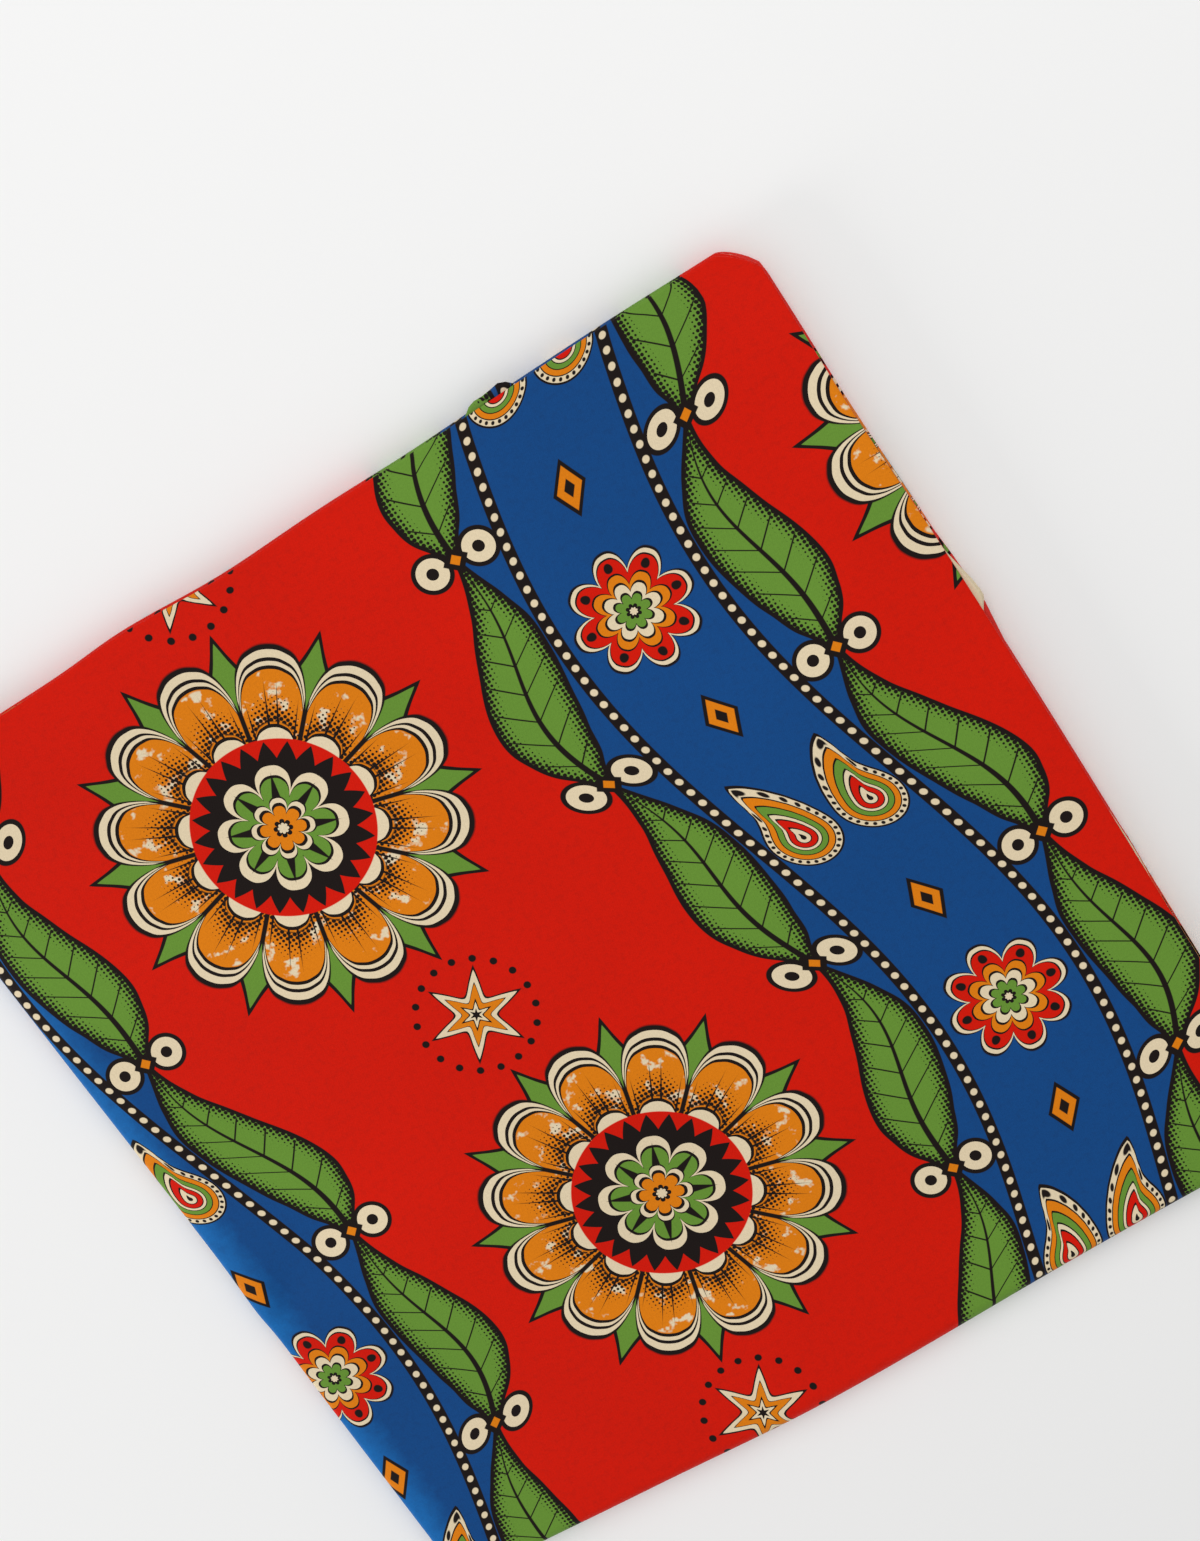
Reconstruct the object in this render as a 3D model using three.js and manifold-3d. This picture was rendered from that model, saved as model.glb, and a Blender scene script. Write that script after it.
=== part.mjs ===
// Two yards of wax-printed cotton, folded flat into a nearly square bundle that lies on a table.
//
// How it is folded: the cloth is doubled selvedge to selvedge, doubled again to one yard, folded once more
// across its width, and then in three like a letter. That stacks six leaves of four plies each. Two nodes:
//   outer_cloth   the leaf that shows: it lies on top, turns under at the near end, runs along the
//                 underside, turns up round the far end and ends between the upper leaves. Along its wide
//                 folded side it turns back under itself in a bead two leaves high.
//   inner_layers  the hidden leaves, one solid that shows as layered edges at the sides and the far end
//
// Frame: millimetres, +Z up, origin under the middle of the bundle on the surface it lies on.
// +X runs from the wide folded side to the side with the narrow folds, across the cloth.
// +Y runs from the near end, where the outer cloth wraps the stack, to the far end with the loose leaves.
import * as THREE from "three";
import { mergeVertices } from "three/addons/utils/BufferGeometryUtils.js";
import Module from "manifold-3d";

// ---- Driving dimensions ----
const CLOTH_WIDTH = 1170; // selvedge to selvedge
const CLOTH_LENGTH = 1829; // two yards
const PLY = 0.4; // one thickness of cloth with the air beside it
const GAP = 0.3; // clear space between the outer cloth and the inner layers
const NEAR_REACH = 4; // how far the near end's fold bulges past where it starts to turn
const TUCK = 12; // how far the outer cloth runs in again past the far end's lower fold
const LIP = 1.2; // how far each inner leaf stands out of the grooves between them
const CORNER_RADIUS = 8; // of the bundle's corners, seen from above

// ---- Worked out from them ----
const ACROSS = CLOTH_WIDTH / 4;
const ALONG = CLOTH_LENGTH / 6;
const LEAF = 4 * PLY;
const STACK = 6 * LEAF;
const HALF_X = ACROSS / 2;
const HALF_Y = ALONG / 2;
const WALL = LEAF - GAP / 2; // the outer cloth's inner face, below its outer face
const INSIDE = LEAF + GAP / 2; // where the inner layers start
const BEAD = 2 * LEAF - GAP / 2; // the bead's and the second leaf's inner face
const NEAR_RISE = STACK / 2; // half the height of the near end's fold
const FAR_RISE = 2 * LEAF - GAP / 4; // half the height of the far end's lower fold, which is round
const FAR_TOP = 2 * FAR_RISE;
const FAR_ROOM = 0.8 * FAR_RISE; // no leaf reaches deeper into that fold
const NEAR_START = -HALF_Y + NEAR_REACH;
const FAR_START = HALF_Y - FAR_RISE;
const TUCK_END = FAR_START - TUCK;
const SLOT_END = TUCK_END - GAP; // where the slot for the tucked end stops in the inner layers

// ---- How the bundle lies ----
// Soft ridges and troughs of the top: place, direction of the ridge, half length, half breadth and height.
const RISES = [
  { x: -8, y: 20, turn: 20, long: 120, broad: 90, height: 0.7 },
  { x: -70, y: 60, turn: 62, long: 75, broad: 20, height: 0.35 },
  { x: 52, y: -62, turn: -38, long: 80, broad: 20, height: 0.4 },
  { x: 88, y: 84, turn: 24, long: 60, broad: 18, height: -0.35 },
  { x: -62, y: -92, turn: 12, long: 70, broad: 18, height: -0.4 },
  { x: -126, y: -37, turn: 40, long: 26, broad: 13, height: -0.8 },
  { x: 140, y: 147, turn: -45, long: 18, broad: 15, height: -1.3 },
];
// Where the outline leaves its straight line: side, place along it, half length and how far it stands out.
const OUTLINE = [
  { side: "right", at: 10, reach: 105, out: 1.4 },
  { side: "right", at: 96, reach: 22, out: -0.5 },
  { side: "left", at: -10, reach: 80, out: -0.8 },
  { side: "left", at: -37, reach: 12, out: -0.8 },
  { side: "near", at: 5, reach: 90, out: 2.6 },
  { side: "far", at: -58, reach: 22, out: 1.0 },
  { side: "far", at: -22, reach: 22, out: -0.8 },
];
// The same for the hidden leaves where they show past the outer cloth.
const PEEPING = [
  { side: "right", at: 36, reach: 14, out: 2.2 },
  { side: "right", at: -52, reach: 16, out: 1.0 },
  { side: "right", at: 108, reach: 20, out: -1.2 },
  { side: "far", at: 62, reach: 9, out: 3.4 },
  { side: "far", at: -96, reach: 18, out: 1.0 },
];
const EDGE_REACH = 26; // how far in from the edge an outline change is felt
const PEEP_REACH = 12; // the same for the hidden leaves' own changes
const ROLL_REACH = 10; // the wide folded side slopes off over this distance
const ROLL_DROP = 1.3;

const bell = (value, at, reach) => Math.exp(-(((value - at) / reach) ** 2));
const clamp01 = (value) => Math.min(1, Math.max(0, value));

// Evenly spaced numbers, both ends included.
function spread(from, to, steps) {
  return Array.from({ length: steps + 1 }, (_, i) => from + ((to - from) * i) / steps);
}

// How much thicker the stack is at a place than its plain thickness.
function swell(x, y) {
  let rise = 0;
  for (const r of RISES) {
    const turn = THREE.MathUtils.degToRad(r.turn);
    const along = (x - r.x) * Math.cos(turn) + (y - r.y) * Math.sin(turn);
    const beside = (y - r.y) * Math.cos(turn) - (x - r.x) * Math.sin(turn);
    rise += r.height * bell(along, 0, r.long) * bell(beside, 0, r.broad);
  }
  return rise - ROLL_DROP * clamp01((ROLL_REACH - (x + HALF_X)) / ROLL_REACH) ** 2;
}

// How far one side stands out at a place along it.
function standOut(rows, side, at) {
  const here = rows.filter((row) => row.side === side);
  return here.reduce((sum, row) => sum + row.out * bell(at, row.at, row.reach), 0);
}

// How far the round corners draw the sides in near the bundle's ends.
function cornerInset(y) {
  const past = clamp01((Math.abs(y) - (HALF_Y - CORNER_RADIUS)) / CORNER_RADIUS);
  return CORNER_RADIUS * (1 - Math.sqrt(1 - past * past));
}

// Takes a point of the plain, square stack to where it lies in the real, slightly uneven bundle.
function lie(x, y, z, hidden) {
  const nearEdge = (value, half, reach) => clamp01((Math.abs(value) - (half - reach)) / reach) ** 2;
  const sideX = x > 0 ? standOut(OUTLINE, "right", y) : -standOut(OUTLINE, "left", y);
  const sideY = y > 0 ? standOut(OUTLINE, "far", x) : -standOut(OUTLINE, "near", x);
  const peepX = hidden && x > 0 ? standOut(PEEPING, "right", y) : 0;
  const peepY = hidden && y > 0 && z > FAR_TOP ? standOut(PEEPING, "far", x) : 0;
  const shiftX = sideX * nearEdge(x, HALF_X, EDGE_REACH) + peepX * nearEdge(x, HALF_X, PEEP_REACH);
  const shiftY = sideY * nearEdge(y, HALF_Y, EDGE_REACH) + peepY * nearEdge(y, HALF_Y, PEEP_REACH);
  const drawnIn = 1 - cornerInset(y) / HALF_X;
  return new THREE.Vector3(x * drawnIn + shiftX, y + shiftY, z * (1 + swell(x, y) / STACK));
}

// ---- The route of the cloth ----
// Each leaf and layer is drawn as a ladder in the YZ plane: rungs, each with two ends, that run along it.
const ROUNDING = [
  { back: 0, share: 0.35 },
  { back: 0.22, share: 0.75 },
  { back: 0.7, share: 1 },
]; // how a leaf's thickness grows from its rounded end, with distances in units of a leaf

// Places along the bundle between the two folds, the same ones for each layer.
const NEAR_CORNER = -HALF_Y + CORNER_RADIUS;
const FAR_CORNER = HALF_Y - CORNER_RADIUS;
const ALONG_PLACES = [NEAR_START, ...spread(NEAR_CORNER, SLOT_END, 14), FAR_CORNER, FAR_START];

// Stations along the outer face, from the loose end on top to the end that is tucked in: place, outward
// direction, the greatest depth that a leaf may reach there and the share of its thickness that it has.
function outerRoute() {
  const route = [];
  const flat = (places, z, up) => {
    for (const y of places) route.push({ y, z, outY: 0, outZ: up, room: BEAD, share: 1 });
  };
  const round = (middleY, middleZ, reach, rise, start, room, steps) => {
    for (const turn of spread(0, Math.PI, steps).slice(1, -1)) {
      const y = middleY + reach * Math.sin(turn);
      const z = middleZ + start * rise * Math.cos(turn);
      const out = new THREE.Vector2(Math.sin(turn) / reach, (start * Math.cos(turn)) / rise).normalize();
      route.push({ y, z, outY: out.x, outZ: out.y, room, share: 1 });
    }
  };
  const ending = (end, z, towards) =>
    ROUNDING.map(({ back, share }) => {
      return { y: end + towards * back * LEAF, z, outY: 0, outZ: 1, room: BEAD, share };
    });
  route.push(...ending(HALF_Y, STACK, -1));
  flat([...ALONG_PLACES].reverse(), STACK, 1);
  round(NEAR_START, NEAR_RISE, -NEAR_REACH, NEAR_RISE, 1, BEAD, 8);
  flat(ALONG_PLACES, 0, -1);
  round(FAR_START, FAR_RISE, FAR_RISE, FAR_RISE, -1, FAR_ROOM, 8);
  flat([FAR_START, FAR_CORNER], FAR_TOP, 1);
  route.push(...ending(TUCK_END, FAR_TOP, 1).reverse());
  return route;
}

// The rungs of a leaf that follows the route between two depths below the outer face.
function leafRungs(route, from, to) {
  const sink = (s, depth) => ({ y: s.y - s.outY * depth, z: s.z - s.outZ * depth });
  return route.map((s) => {
    const low = Math.min(to, s.room);
    const middle = (from + low) / 2;
    const half = ((low - from) / 2) * s.share;
    return [sink(s, middle - half), sink(s, middle + half)];
  });
}

// The rungs of a plain plate between two heights.
const plateRungs = (places, low, high) => places.map((y) => [{ y, z: low }, { y, z: high }]);

// The same rungs drawn together about their middles.
function thinned(rungs, share) {
  return rungs.map(([a, b]) => {
    const middle = { y: (a.y + b.y) / 2, z: (a.z + b.z) / 2 };
    const drawn = (p) => ({ y: middle.y + (p.y - middle.y) * share, z: middle.z + (p.z - middle.z) * share });
    return [drawn(a), drawn(b)];
  });
}

// ---- Meshing ----
// A closed solid across the bundle: each ring has a place x and the rungs there, as many as the next ring.
function solidAcross(rings, hidden) {
  const rungs = rings[0].rungs.length;
  const count = 2 * rungs;
  const loops = rings.map((ring) => {
    return [...ring.rungs.map(([face]) => face), ...ring.rungs.map(([, back]) => back).reverse()];
  });
  const points = rings.flatMap(({ x }, i) => loops[i].map(({ y, z }) => lie(x, y, z, hidden)));
  const faces = [];
  for (let ring = 0; ring + 1 < rings.length; ring++)
    for (let i = 0; i < count; i++) {
      const a = ring * count + i;
      const b = ring * count + ((i + 1) % count);
      faces.push([a, b, b + count], [a, b + count, a + count]);
    }
  const last = (rings.length - 1) * count;
  for (let i = 0; i + 1 < rungs; i++) {
    const [a, b, c, d] = [i, i + 1, count - 2 - i, count - 1 - i];
    faces.push([a, c, b], [a, d, c], [last + a, last + b, last + c], [last + a, last + c, last + d]);
  }
  const flatLoop = loops[Math.floor(rings.length / 2)].map(({ y, z }) => new THREE.Vector2(y, z));
  return faceted(points, faces, THREE.ShapeUtils.area(flatLoop) < 0);
}

// A geometry from points and faces, turned inside out where the faces point inwards.
function faceted(points, faces, inwards) {
  const geometry = new THREE.BufferGeometry();
  geometry.setAttribute("position", new THREE.Float32BufferAttribute(points.flatMap((p) => p.toArray()), 3));
  geometry.setIndex(faces.flatMap(([a, b, c]) => (inwards ? [a, c, b] : [a, b, c])));
  return geometry;
}

// Places across the bundle, the same ones for each layer and closer together round a narrow bump.
const NARROW = PEEPING.filter((row) => row.side === "far" && row.reach < EDGE_REACH / 2);
const ACROSS_PLACES = [
  ...spread(-HALF_X, HALF_X, 18),
  ...NARROW.flatMap((row) => [row.at - row.reach / 2, row.at + row.reach / 2]),
  ROLL_REACH - HALF_X,
].sort((a, b) => a - b);

function placesAcross(from, to) {
  return [from, ...ACROSS_PLACES.filter((x) => x > from + LEAF && x < to - LEAF), to];
}

// ---- The outer cloth ----
const BEAD_END = -HALF_X + LEAF + 2 * PLY; // the bead's inner side
const BEAD_STEP = PLY / 4; // over which the bead ends
const BLUNT = 0.42 * Math.PI; // the round edges end in a small flat at this turn

// Its rings, from the wide folded side: the bead's round face, its end, the plain leaf and the far lip.
function outerCloth() {
  const route = outerRoute();
  const rings = [];
  const ring = (x, from, to) => rings.push({ x, rungs: leafRungs(route, from, to) });
  for (const turn of spread(BLUNT, 0, 4)) {
    const half = (BEAD / 2) * Math.cos(turn);
    ring(-HALF_X + LEAF * (1 - Math.sin(turn)), BEAD / 2 - half, BEAD / 2 + half);
  }
  ring(BEAD_END, 0, BEAD);
  ring(BEAD_END + BEAD_STEP, 0, WALL);
  const lipStart = HALF_X - WALL / 2;
  for (const x of placesAcross(BEAD_END + LEAF, lipStart)) ring(x, 0, WALL);
  for (const turn of spread(0, BLUNT, 3).slice(1)) {
    const half = (WALL / 2) * Math.cos(turn);
    ring(lipStart + (WALL / 2) * Math.sin(turn), WALL / 2 - half, WALL / 2 + half);
  }
  return solidAcross(rings, false);
}

// ---- The inner layers ----
const LOOSE_INSET = 0.9; // the second leaf's loose end stays this far inside the outer cloth's
const LEAF_CLEAR = 0.12; // half the groove between two lips
const DEEP = 2 * LIP; // how far the lips reach back into the core
const ROOT_SHARE = 0.9; // of a lip's thickness, where it starts inside the core
const BURIED = 0.06; // how far a layer that runs on out of the core lies below the core's faces
const CORE_LEFT = BEAD_END + BEAD_STEP + GAP;
const CORE_RIGHT = HALF_X - 1.5 * LIP;
// The leaves whose edges stand out of the core: heights, the side and how far inside the bundle's side.
const EDGES = [
  { side: "right", low: BEAD + LEAF, high: STACK - BEAD, inset: 0.9 },
  { side: "right", low: BEAD, high: BEAD + LEAF, inset: 0.3 },
  { side: "left", low: BEAD, high: STACK - BEAD, inset: 0.5 },
];
const SECOND_INSET = 0.5; // the same for the second leaf, which follows the outer cloth round

// The rungs of all the inner leaves together, from the near fold to the slot that the tucked end lies in.
function coreRungs(route) {
  const nearFold = leafRungs(route, INSIDE, BEAD).filter((_, i) => route[i].y < NEAR_START);
  const faces = nearFold.map(([face]) => face);
  const half = Math.floor(faces.length / 2);
  const nose = spread(half - 1, 0, half - 1).map((i) => [faces[faces.length - 1 - i], faces[i]]);
  return [...nose, ...plateRungs(ALONG_PLACES.filter((y) => y <= SLOT_END), INSIDE, STACK - INSIDE)];
}

// The rungs of the layers that run on past the slot: the second leaf's loose end above it and the round
// end of the lower leaves below it.
function looseRungs() {
  const plate = (places) => plateRungs(places, STACK - BEAD, STACK - INSIDE - BURIED);
  const end = HALF_Y - LOOSE_INSET;
  const towardsEnd = [...ROUNDING].reverse();
  const rounded = towardsEnd.flatMap(({ back, share }) => thinned(plate([end - back * LEAF]), share));
  return [...plate([SLOT_END - LEAF, FAR_CORNER, FAR_START]), ...rounded];
}

function lowerRungs() {
  const reach = FAR_RISE - INSIDE;
  const rungs = plateRungs([SLOT_END - LEAF, FAR_CORNER], INSIDE + BURIED, FAR_TOP - INSIDE);
  for (const turn of spread(0, BLUNT, 4)) {
    const half = reach * Math.cos(turn);
    rungs.push(...plateRungs([FAR_START + reach * Math.sin(turn)], FAR_RISE - half, FAR_RISE + half));
  }
  return rungs;
}

// A leaf's edge that stands out of the core: rings from a place inside to its soft, rounded end.
function edge(rungs, inner, outer, radius) {
  const side = Math.sign(outer - inner);
  const rings = [{ x: inner, rungs: thinned(rungs, ROOT_SHARE) }];
  for (const turn of spread(0, BLUNT, 3))
    rings.push({ x: outer - side * radius * (1 - Math.sin(turn)), rungs: thinned(rungs, Math.cos(turn)) });
  return solidAcross(side > 0 ? rings : rings.reverse(), true);
}

function innerLayers(wasm) {
  const route = outerRoute();
  const places = placesAcross(CORE_LEFT, CORE_RIGHT);
  const pieces = [coreRungs(route), looseRungs(), lowerRungs()].map((rungs) =>
    solidAcross(places.map((x) => ({ x, rungs })), true),
  );
  const secondLeaf = leafRungs(route, INSIDE + LEAF_CLEAR, BEAD - LEAF_CLEAR);
  const uncovered = secondLeaf.filter((_, i) => route[i].y <= FAR_START && route[i].z !== FAR_TOP);
  pieces.push(edge(uncovered, CORE_RIGHT - DEEP, HALF_X - SECOND_INSET, LEAF / 2));
  const between = [...ALONG_PLACES.filter((y) => y < SLOT_END), SLOT_END - LEAF_CLEAR];
  for (const { side, low, high, inset } of EDGES) {
    const rungs = plateRungs(between, low + LEAF_CLEAR, high - LEAF_CLEAR);
    const right = side === "right";
    const inner = right ? CORE_RIGHT - DEEP : CORE_LEFT + DEEP;
    pieces.push(edge(rungs, inner, right ? HALF_X - inset : inset - HALF_X, (high - low) / 2));
  }
  return joined(wasm, pieces);
}

// ---- Joining ----
const WELD = 1e-4; // points closer than this are one

function joined(wasm, geometries) {
  const solids = geometries.map((geometry) => {
    const merged = mergeVertices(geometry, WELD);
    const vertProperties = Float32Array.from(merged.getAttribute("position").array);
    const triVerts = Uint32Array.from(merged.index.array);
    return new wasm.Manifold(new wasm.Mesh({ numProp: 3, vertProperties, triVerts }));
  });
  const mesh = solids.reduce((sum, solid) => sum.add(solid)).getMesh();
  const geometry = new THREE.BufferGeometry();
  geometry.setAttribute("position", new THREE.BufferAttribute(mesh.vertProperties, 3));
  geometry.setIndex(new THREE.BufferAttribute(mesh.triVerts, 1));
  return geometry;
}

// ---- The bundle ----
const wasm = await Module();
wasm.setup();

const printedCotton = new THREE.MeshStandardMaterial({ color: 0xc8190a, roughness: 0.75, metalness: 0 });
const foldedCotton = new THREE.MeshStandardMaterial({ color: 0x1c4e8c, roughness: 0.8, metalness: 0 });

function node(name, geometry, material) {
  geometry.computeVertexNormals();
  const mesh = new THREE.Mesh(geometry, material);
  mesh.name = name;
  return mesh;
}

const bundle = new THREE.Group();
bundle.add(node("outer_cloth", outerCloth(), printedCotton));
bundle.add(node("inner_layers", innerLayers(wasm), foldedCotton));

export default bundle;
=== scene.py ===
"""Two yards of wax-printed cotton, folded flat into a nearly square bundle. Blender 4.5, metres, +Z up.

The whole cloth is worked out as one flat sheet, 1.17 m wide and 1.829 m long, whose every point is then
taken to where folding puts it. It is made as two pieces: what shows all round, and what is folded inside.
"""
import math
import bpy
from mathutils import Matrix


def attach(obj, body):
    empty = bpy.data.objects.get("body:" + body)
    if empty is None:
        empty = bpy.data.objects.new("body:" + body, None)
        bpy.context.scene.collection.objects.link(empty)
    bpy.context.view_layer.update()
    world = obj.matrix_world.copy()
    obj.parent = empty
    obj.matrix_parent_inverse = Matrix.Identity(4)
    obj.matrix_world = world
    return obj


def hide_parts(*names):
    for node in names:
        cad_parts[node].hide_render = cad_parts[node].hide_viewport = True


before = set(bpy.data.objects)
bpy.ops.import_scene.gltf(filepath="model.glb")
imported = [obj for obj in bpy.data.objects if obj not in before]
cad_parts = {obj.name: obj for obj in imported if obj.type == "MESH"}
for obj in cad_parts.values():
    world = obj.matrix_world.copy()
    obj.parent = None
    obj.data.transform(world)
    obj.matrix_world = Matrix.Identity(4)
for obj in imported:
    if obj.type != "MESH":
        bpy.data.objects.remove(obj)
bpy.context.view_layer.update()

from types import SimpleNamespace

import bpy
import numpy as np
from mathutils import Matrix, Vector

# ---- Camera ----
# It stands above the far right corner and looks down on the bundle, turned so that the corner points up.
camera = bpy.data.objects.new("camera", bpy.data.cameras.new("camera"))
bpy.context.scene.collection.objects.link(camera)
bpy.context.scene.camera = camera
camera.data.sensor_fit = "VERTICAL"
camera.data.sensor_height = 36
camera.data.lens = 67.82
looking = Vector((-0.2057, -0.2562, -0.9445)).normalized()
rightwards = Vector((0.8368, -0.5465, -0.0340))
upwards = rightwards.cross(looking).normalized()
rightwards = looking.cross(upwards)
stands_at = Matrix.Translation((0.20036, 0.25608, 0.77017))
camera.matrix_world = stands_at @ Matrix((rightwards, upwards, -looking)).transposed().to_4x4()

# ---- Table and light ----
# A plain pale table top. A large soft lamp above the far side lights it, a weak one fills in from the
# left, and a low one brings out the relief of the wide side fold.
bpy.ops.mesh.primitive_plane_add(size=6)
table = bpy.context.object
table.name = "table"
table_paint = bpy.data.materials.new("table_paint")
table_paint.use_nodes = True
paint_shader = table_paint.node_tree.nodes["Principled BSDF"]
paint_shader.inputs["Base Color"].default_value = (0.93, 0.93, 0.925, 1)
paint_shader.inputs["Roughness"].default_value = 0.9
table.data.materials.append(table_paint)

LAMPS = {
    "main_lamp": {"place": (0.45, 0.8, 1.15), "size": 1.1, "watts": 9.0},
    "fill_lamp": {"place": (-1.0, 0.1, 1.2), "size": 1.2, "watts": 1.2},
    "low_lamp": {"place": (-1.5, -0.1, 0.38), "size": 0.5, "watts": 9},
}
for name, lamp in LAMPS.items():
    light = bpy.data.lights.new(name, "AREA")
    light.size = lamp["size"]
    light.energy = lamp["watts"]
    stand = bpy.data.objects.new(name, light)
    stand.location = lamp["place"]
    stand.rotation_euler = (-Vector(lamp["place"])).to_track_quat("-Z", "Y").to_euler()
    bpy.context.scene.collection.objects.link(stand)
world = bpy.data.worlds.new("room")
world.use_nodes = True
world.node_tree.nodes["Background"].inputs["Color"].default_value = (1, 1, 1, 1)
world.node_tree.nodes["Background"].inputs["Strength"].default_value = 0.52
bpy.context.scene.world = world
bpy.context.scene.view_settings.view_transform = "Standard"

# ---- The cloth that shows ----
# Plain-woven cotton, 1.17 m wide and two yards long, wax-printed through to both faces. It is doubled
# selvedge to selvedge, doubled to one yard, folded once more across its width, and then in three like a
# letter. What shows is the outermost ply, with both of its folded sides.
MM = 0.001
CLOTH_WIDTH = 1170  # selvedge to selvedge
CLOTH_LENGTH = 1829  # two yards
PLY = 0.4  # one thickness of cloth with the air beside it
THREADS = 0.28  # the cotton itself
HALF_X = CLOTH_WIDTH / 8
HALF_Y = CLOTH_LENGTH / 12
PANEL = 8 * PLY
STACK = 3 * PANEL
NEAR_REACH = 4  # how far the near end's fold bulges past where it starts to turn
NEAR_START = NEAR_REACH - HALF_Y
NEAR_RISE = STACK / 2  # half the height of the near end's fold
FAR_RISE = PANEL - 0.075  # half the height of the far end's lower fold
FAR_START = HALF_Y - FAR_RISE
FAR_TOP = 2 * FAR_RISE
MIDDLE_PACK = 0.96  # how far apart the middle panel's plies lie, as a share of the others' spacing

# Across the cloth the eight plies of a panel, counted from its outer face, run in this order. Half the
# length lies in the outer copy, and half in the inner one that the yard fold joins to it.
OUTER_PLIES = (7, 2, 1, 8)
INNER_PLIES = (6, 3, 4, 5)
BEAD_X = -HALF_X + 1.6  # the middle of the wide side fold
NARROW_X = HALF_X - 0.45  # where the narrow folds at the other side start to turn
SELVEDGE_INSETS = {5: 0.7, 6: 1.3, 7: 0.5, 8: 1.0}  # how far each ply's selvedge stops short of the side
TURN_WIDTHS = (math.pi * 2.5 * PLY, math.pi * PLY / 2, math.pi * 3.5 * PLY)
FLAT_WIDTH = (CLOTH_WIDTH - sum(TURN_WIDTHS)) / 4
NARROW_TURN = 3  # of the seven stretches below, the turn at the narrow side
TOP_PLY = 4  # the ply that shows on top
WIDE_TURN = 5  # and the outermost turn at the wide side

# Where each of the four flat stretches and of the three turns between them begins and ends, across the cloth.
ENDS_ACROSS = [0.0]
for stretch in range(7):
    ENDS_ACROSS.append(ENDS_ACROSS[-1] + (TURN_WIDTHS[stretch // 2] if stretch % 2 else FLAT_WIDTH))
STRETCHES = tuple(zip(ENDS_ACROSS[:-1], ENDS_ACROSS[1:]))


def ply_depth(ply):
    return (ply - 0.5) * PLY


def across(u, plies):
    """Where a line across the cloth lies in a panel: x, and depth below the panel's outer face."""
    depths = [ply_depth(ply) for ply in plies]
    first_end, last_end = (HALF_X - SELVEDGE_INSETS[plies[i]] for i in (0, 3))
    flats = ((first_end, BEAD_X), (BEAD_X, NARROW_X), (NARROW_X, BEAD_X), (BEAD_X, last_end))
    x = np.zeros_like(u)
    depth = np.zeros_like(u)
    for i, (low, high) in enumerate(STRETCHES):
        here = (u >= low) & (u <= high)
        share = (u[here] - low) / (high - low)
        if i % 2 == 0:
            start, end = flats[i // 2]
            x[here] = start + (end - start) * share
            depth[here] = depths[i // 2]
        else:
            before, after = depths[i // 2], depths[i // 2 + 1]
            side, middle_x = (1, NARROW_X) if i == NARROW_TURN else (-1, BEAD_X)
            radius = abs(after - before) / 2
            x[here] = middle_x + side * radius * np.sin(np.pi * share)
            depth[here] = (before + after) / 2 + (before - after) / 2 * np.cos(np.pi * share)
    return x, depth


# Along the cloth a panel's outer face runs over the top, round the near end, along the underside, round
# the far end and back through the middle of the stack.
YARD = CLOTH_LENGTH / 2
YARD_TURN = 0.9  # half of the cloth that the yard fold takes up
YARD_FOLD_PULL = 1.5 * PLY  # how far that fold draws the cloth beside it in, and over what length
YARD_FOLD_REACH = 3
RAW_END = NEAR_START + 1.2  # the cut ends lie just inside the near fold
TURN_POINTS = 49


def along_route():
    """The route as a table of places on the outer face, its outward direction and the cloth used so far."""
    turns = np.linspace(0, np.pi, TURN_POINTS)
    near_out = np.stack([-np.sin(turns) / NEAR_REACH, np.cos(turns) / NEAR_RISE])
    near_out /= np.hypot(*near_out)
    near_y = NEAR_START - NEAR_REACH * np.sin(turns)
    far_y = FAR_START + FAR_RISE * np.sin(turns)
    y = np.concatenate([[HALF_Y], near_y, far_y])
    z = np.concatenate([[STACK], NEAR_RISE * (1 + np.cos(turns)), FAR_RISE * (1 - np.cos(turns))])
    out_y = np.concatenate([[0], near_out[0], np.sin(turns)])
    out_z = np.concatenate([[1], near_out[1], -np.cos(turns)])
    depth = ply_depth(1)
    steps = np.hypot(np.diff(y - out_y * depth), np.diff(z - out_z * depth))
    used = np.concatenate([[0], np.cumsum(steps)])
    return {
        "used": np.append(used, YARD - YARD_TURN),
        "y": np.append(y, RAW_END),
        "z": np.append(z, z[-1]),
        "out_y": np.append(out_y, 0),
        "out_z": np.append(out_z, 1),
    }


ROUTE = along_route()
NEAR_TURN = (ROUTE["used"][1], ROUTE["used"][TURN_POINTS])
FAR_TURN = (ROUTE["used"][TURN_POINTS + 1], ROUTE["used"][2 * TURN_POINTS])

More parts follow.
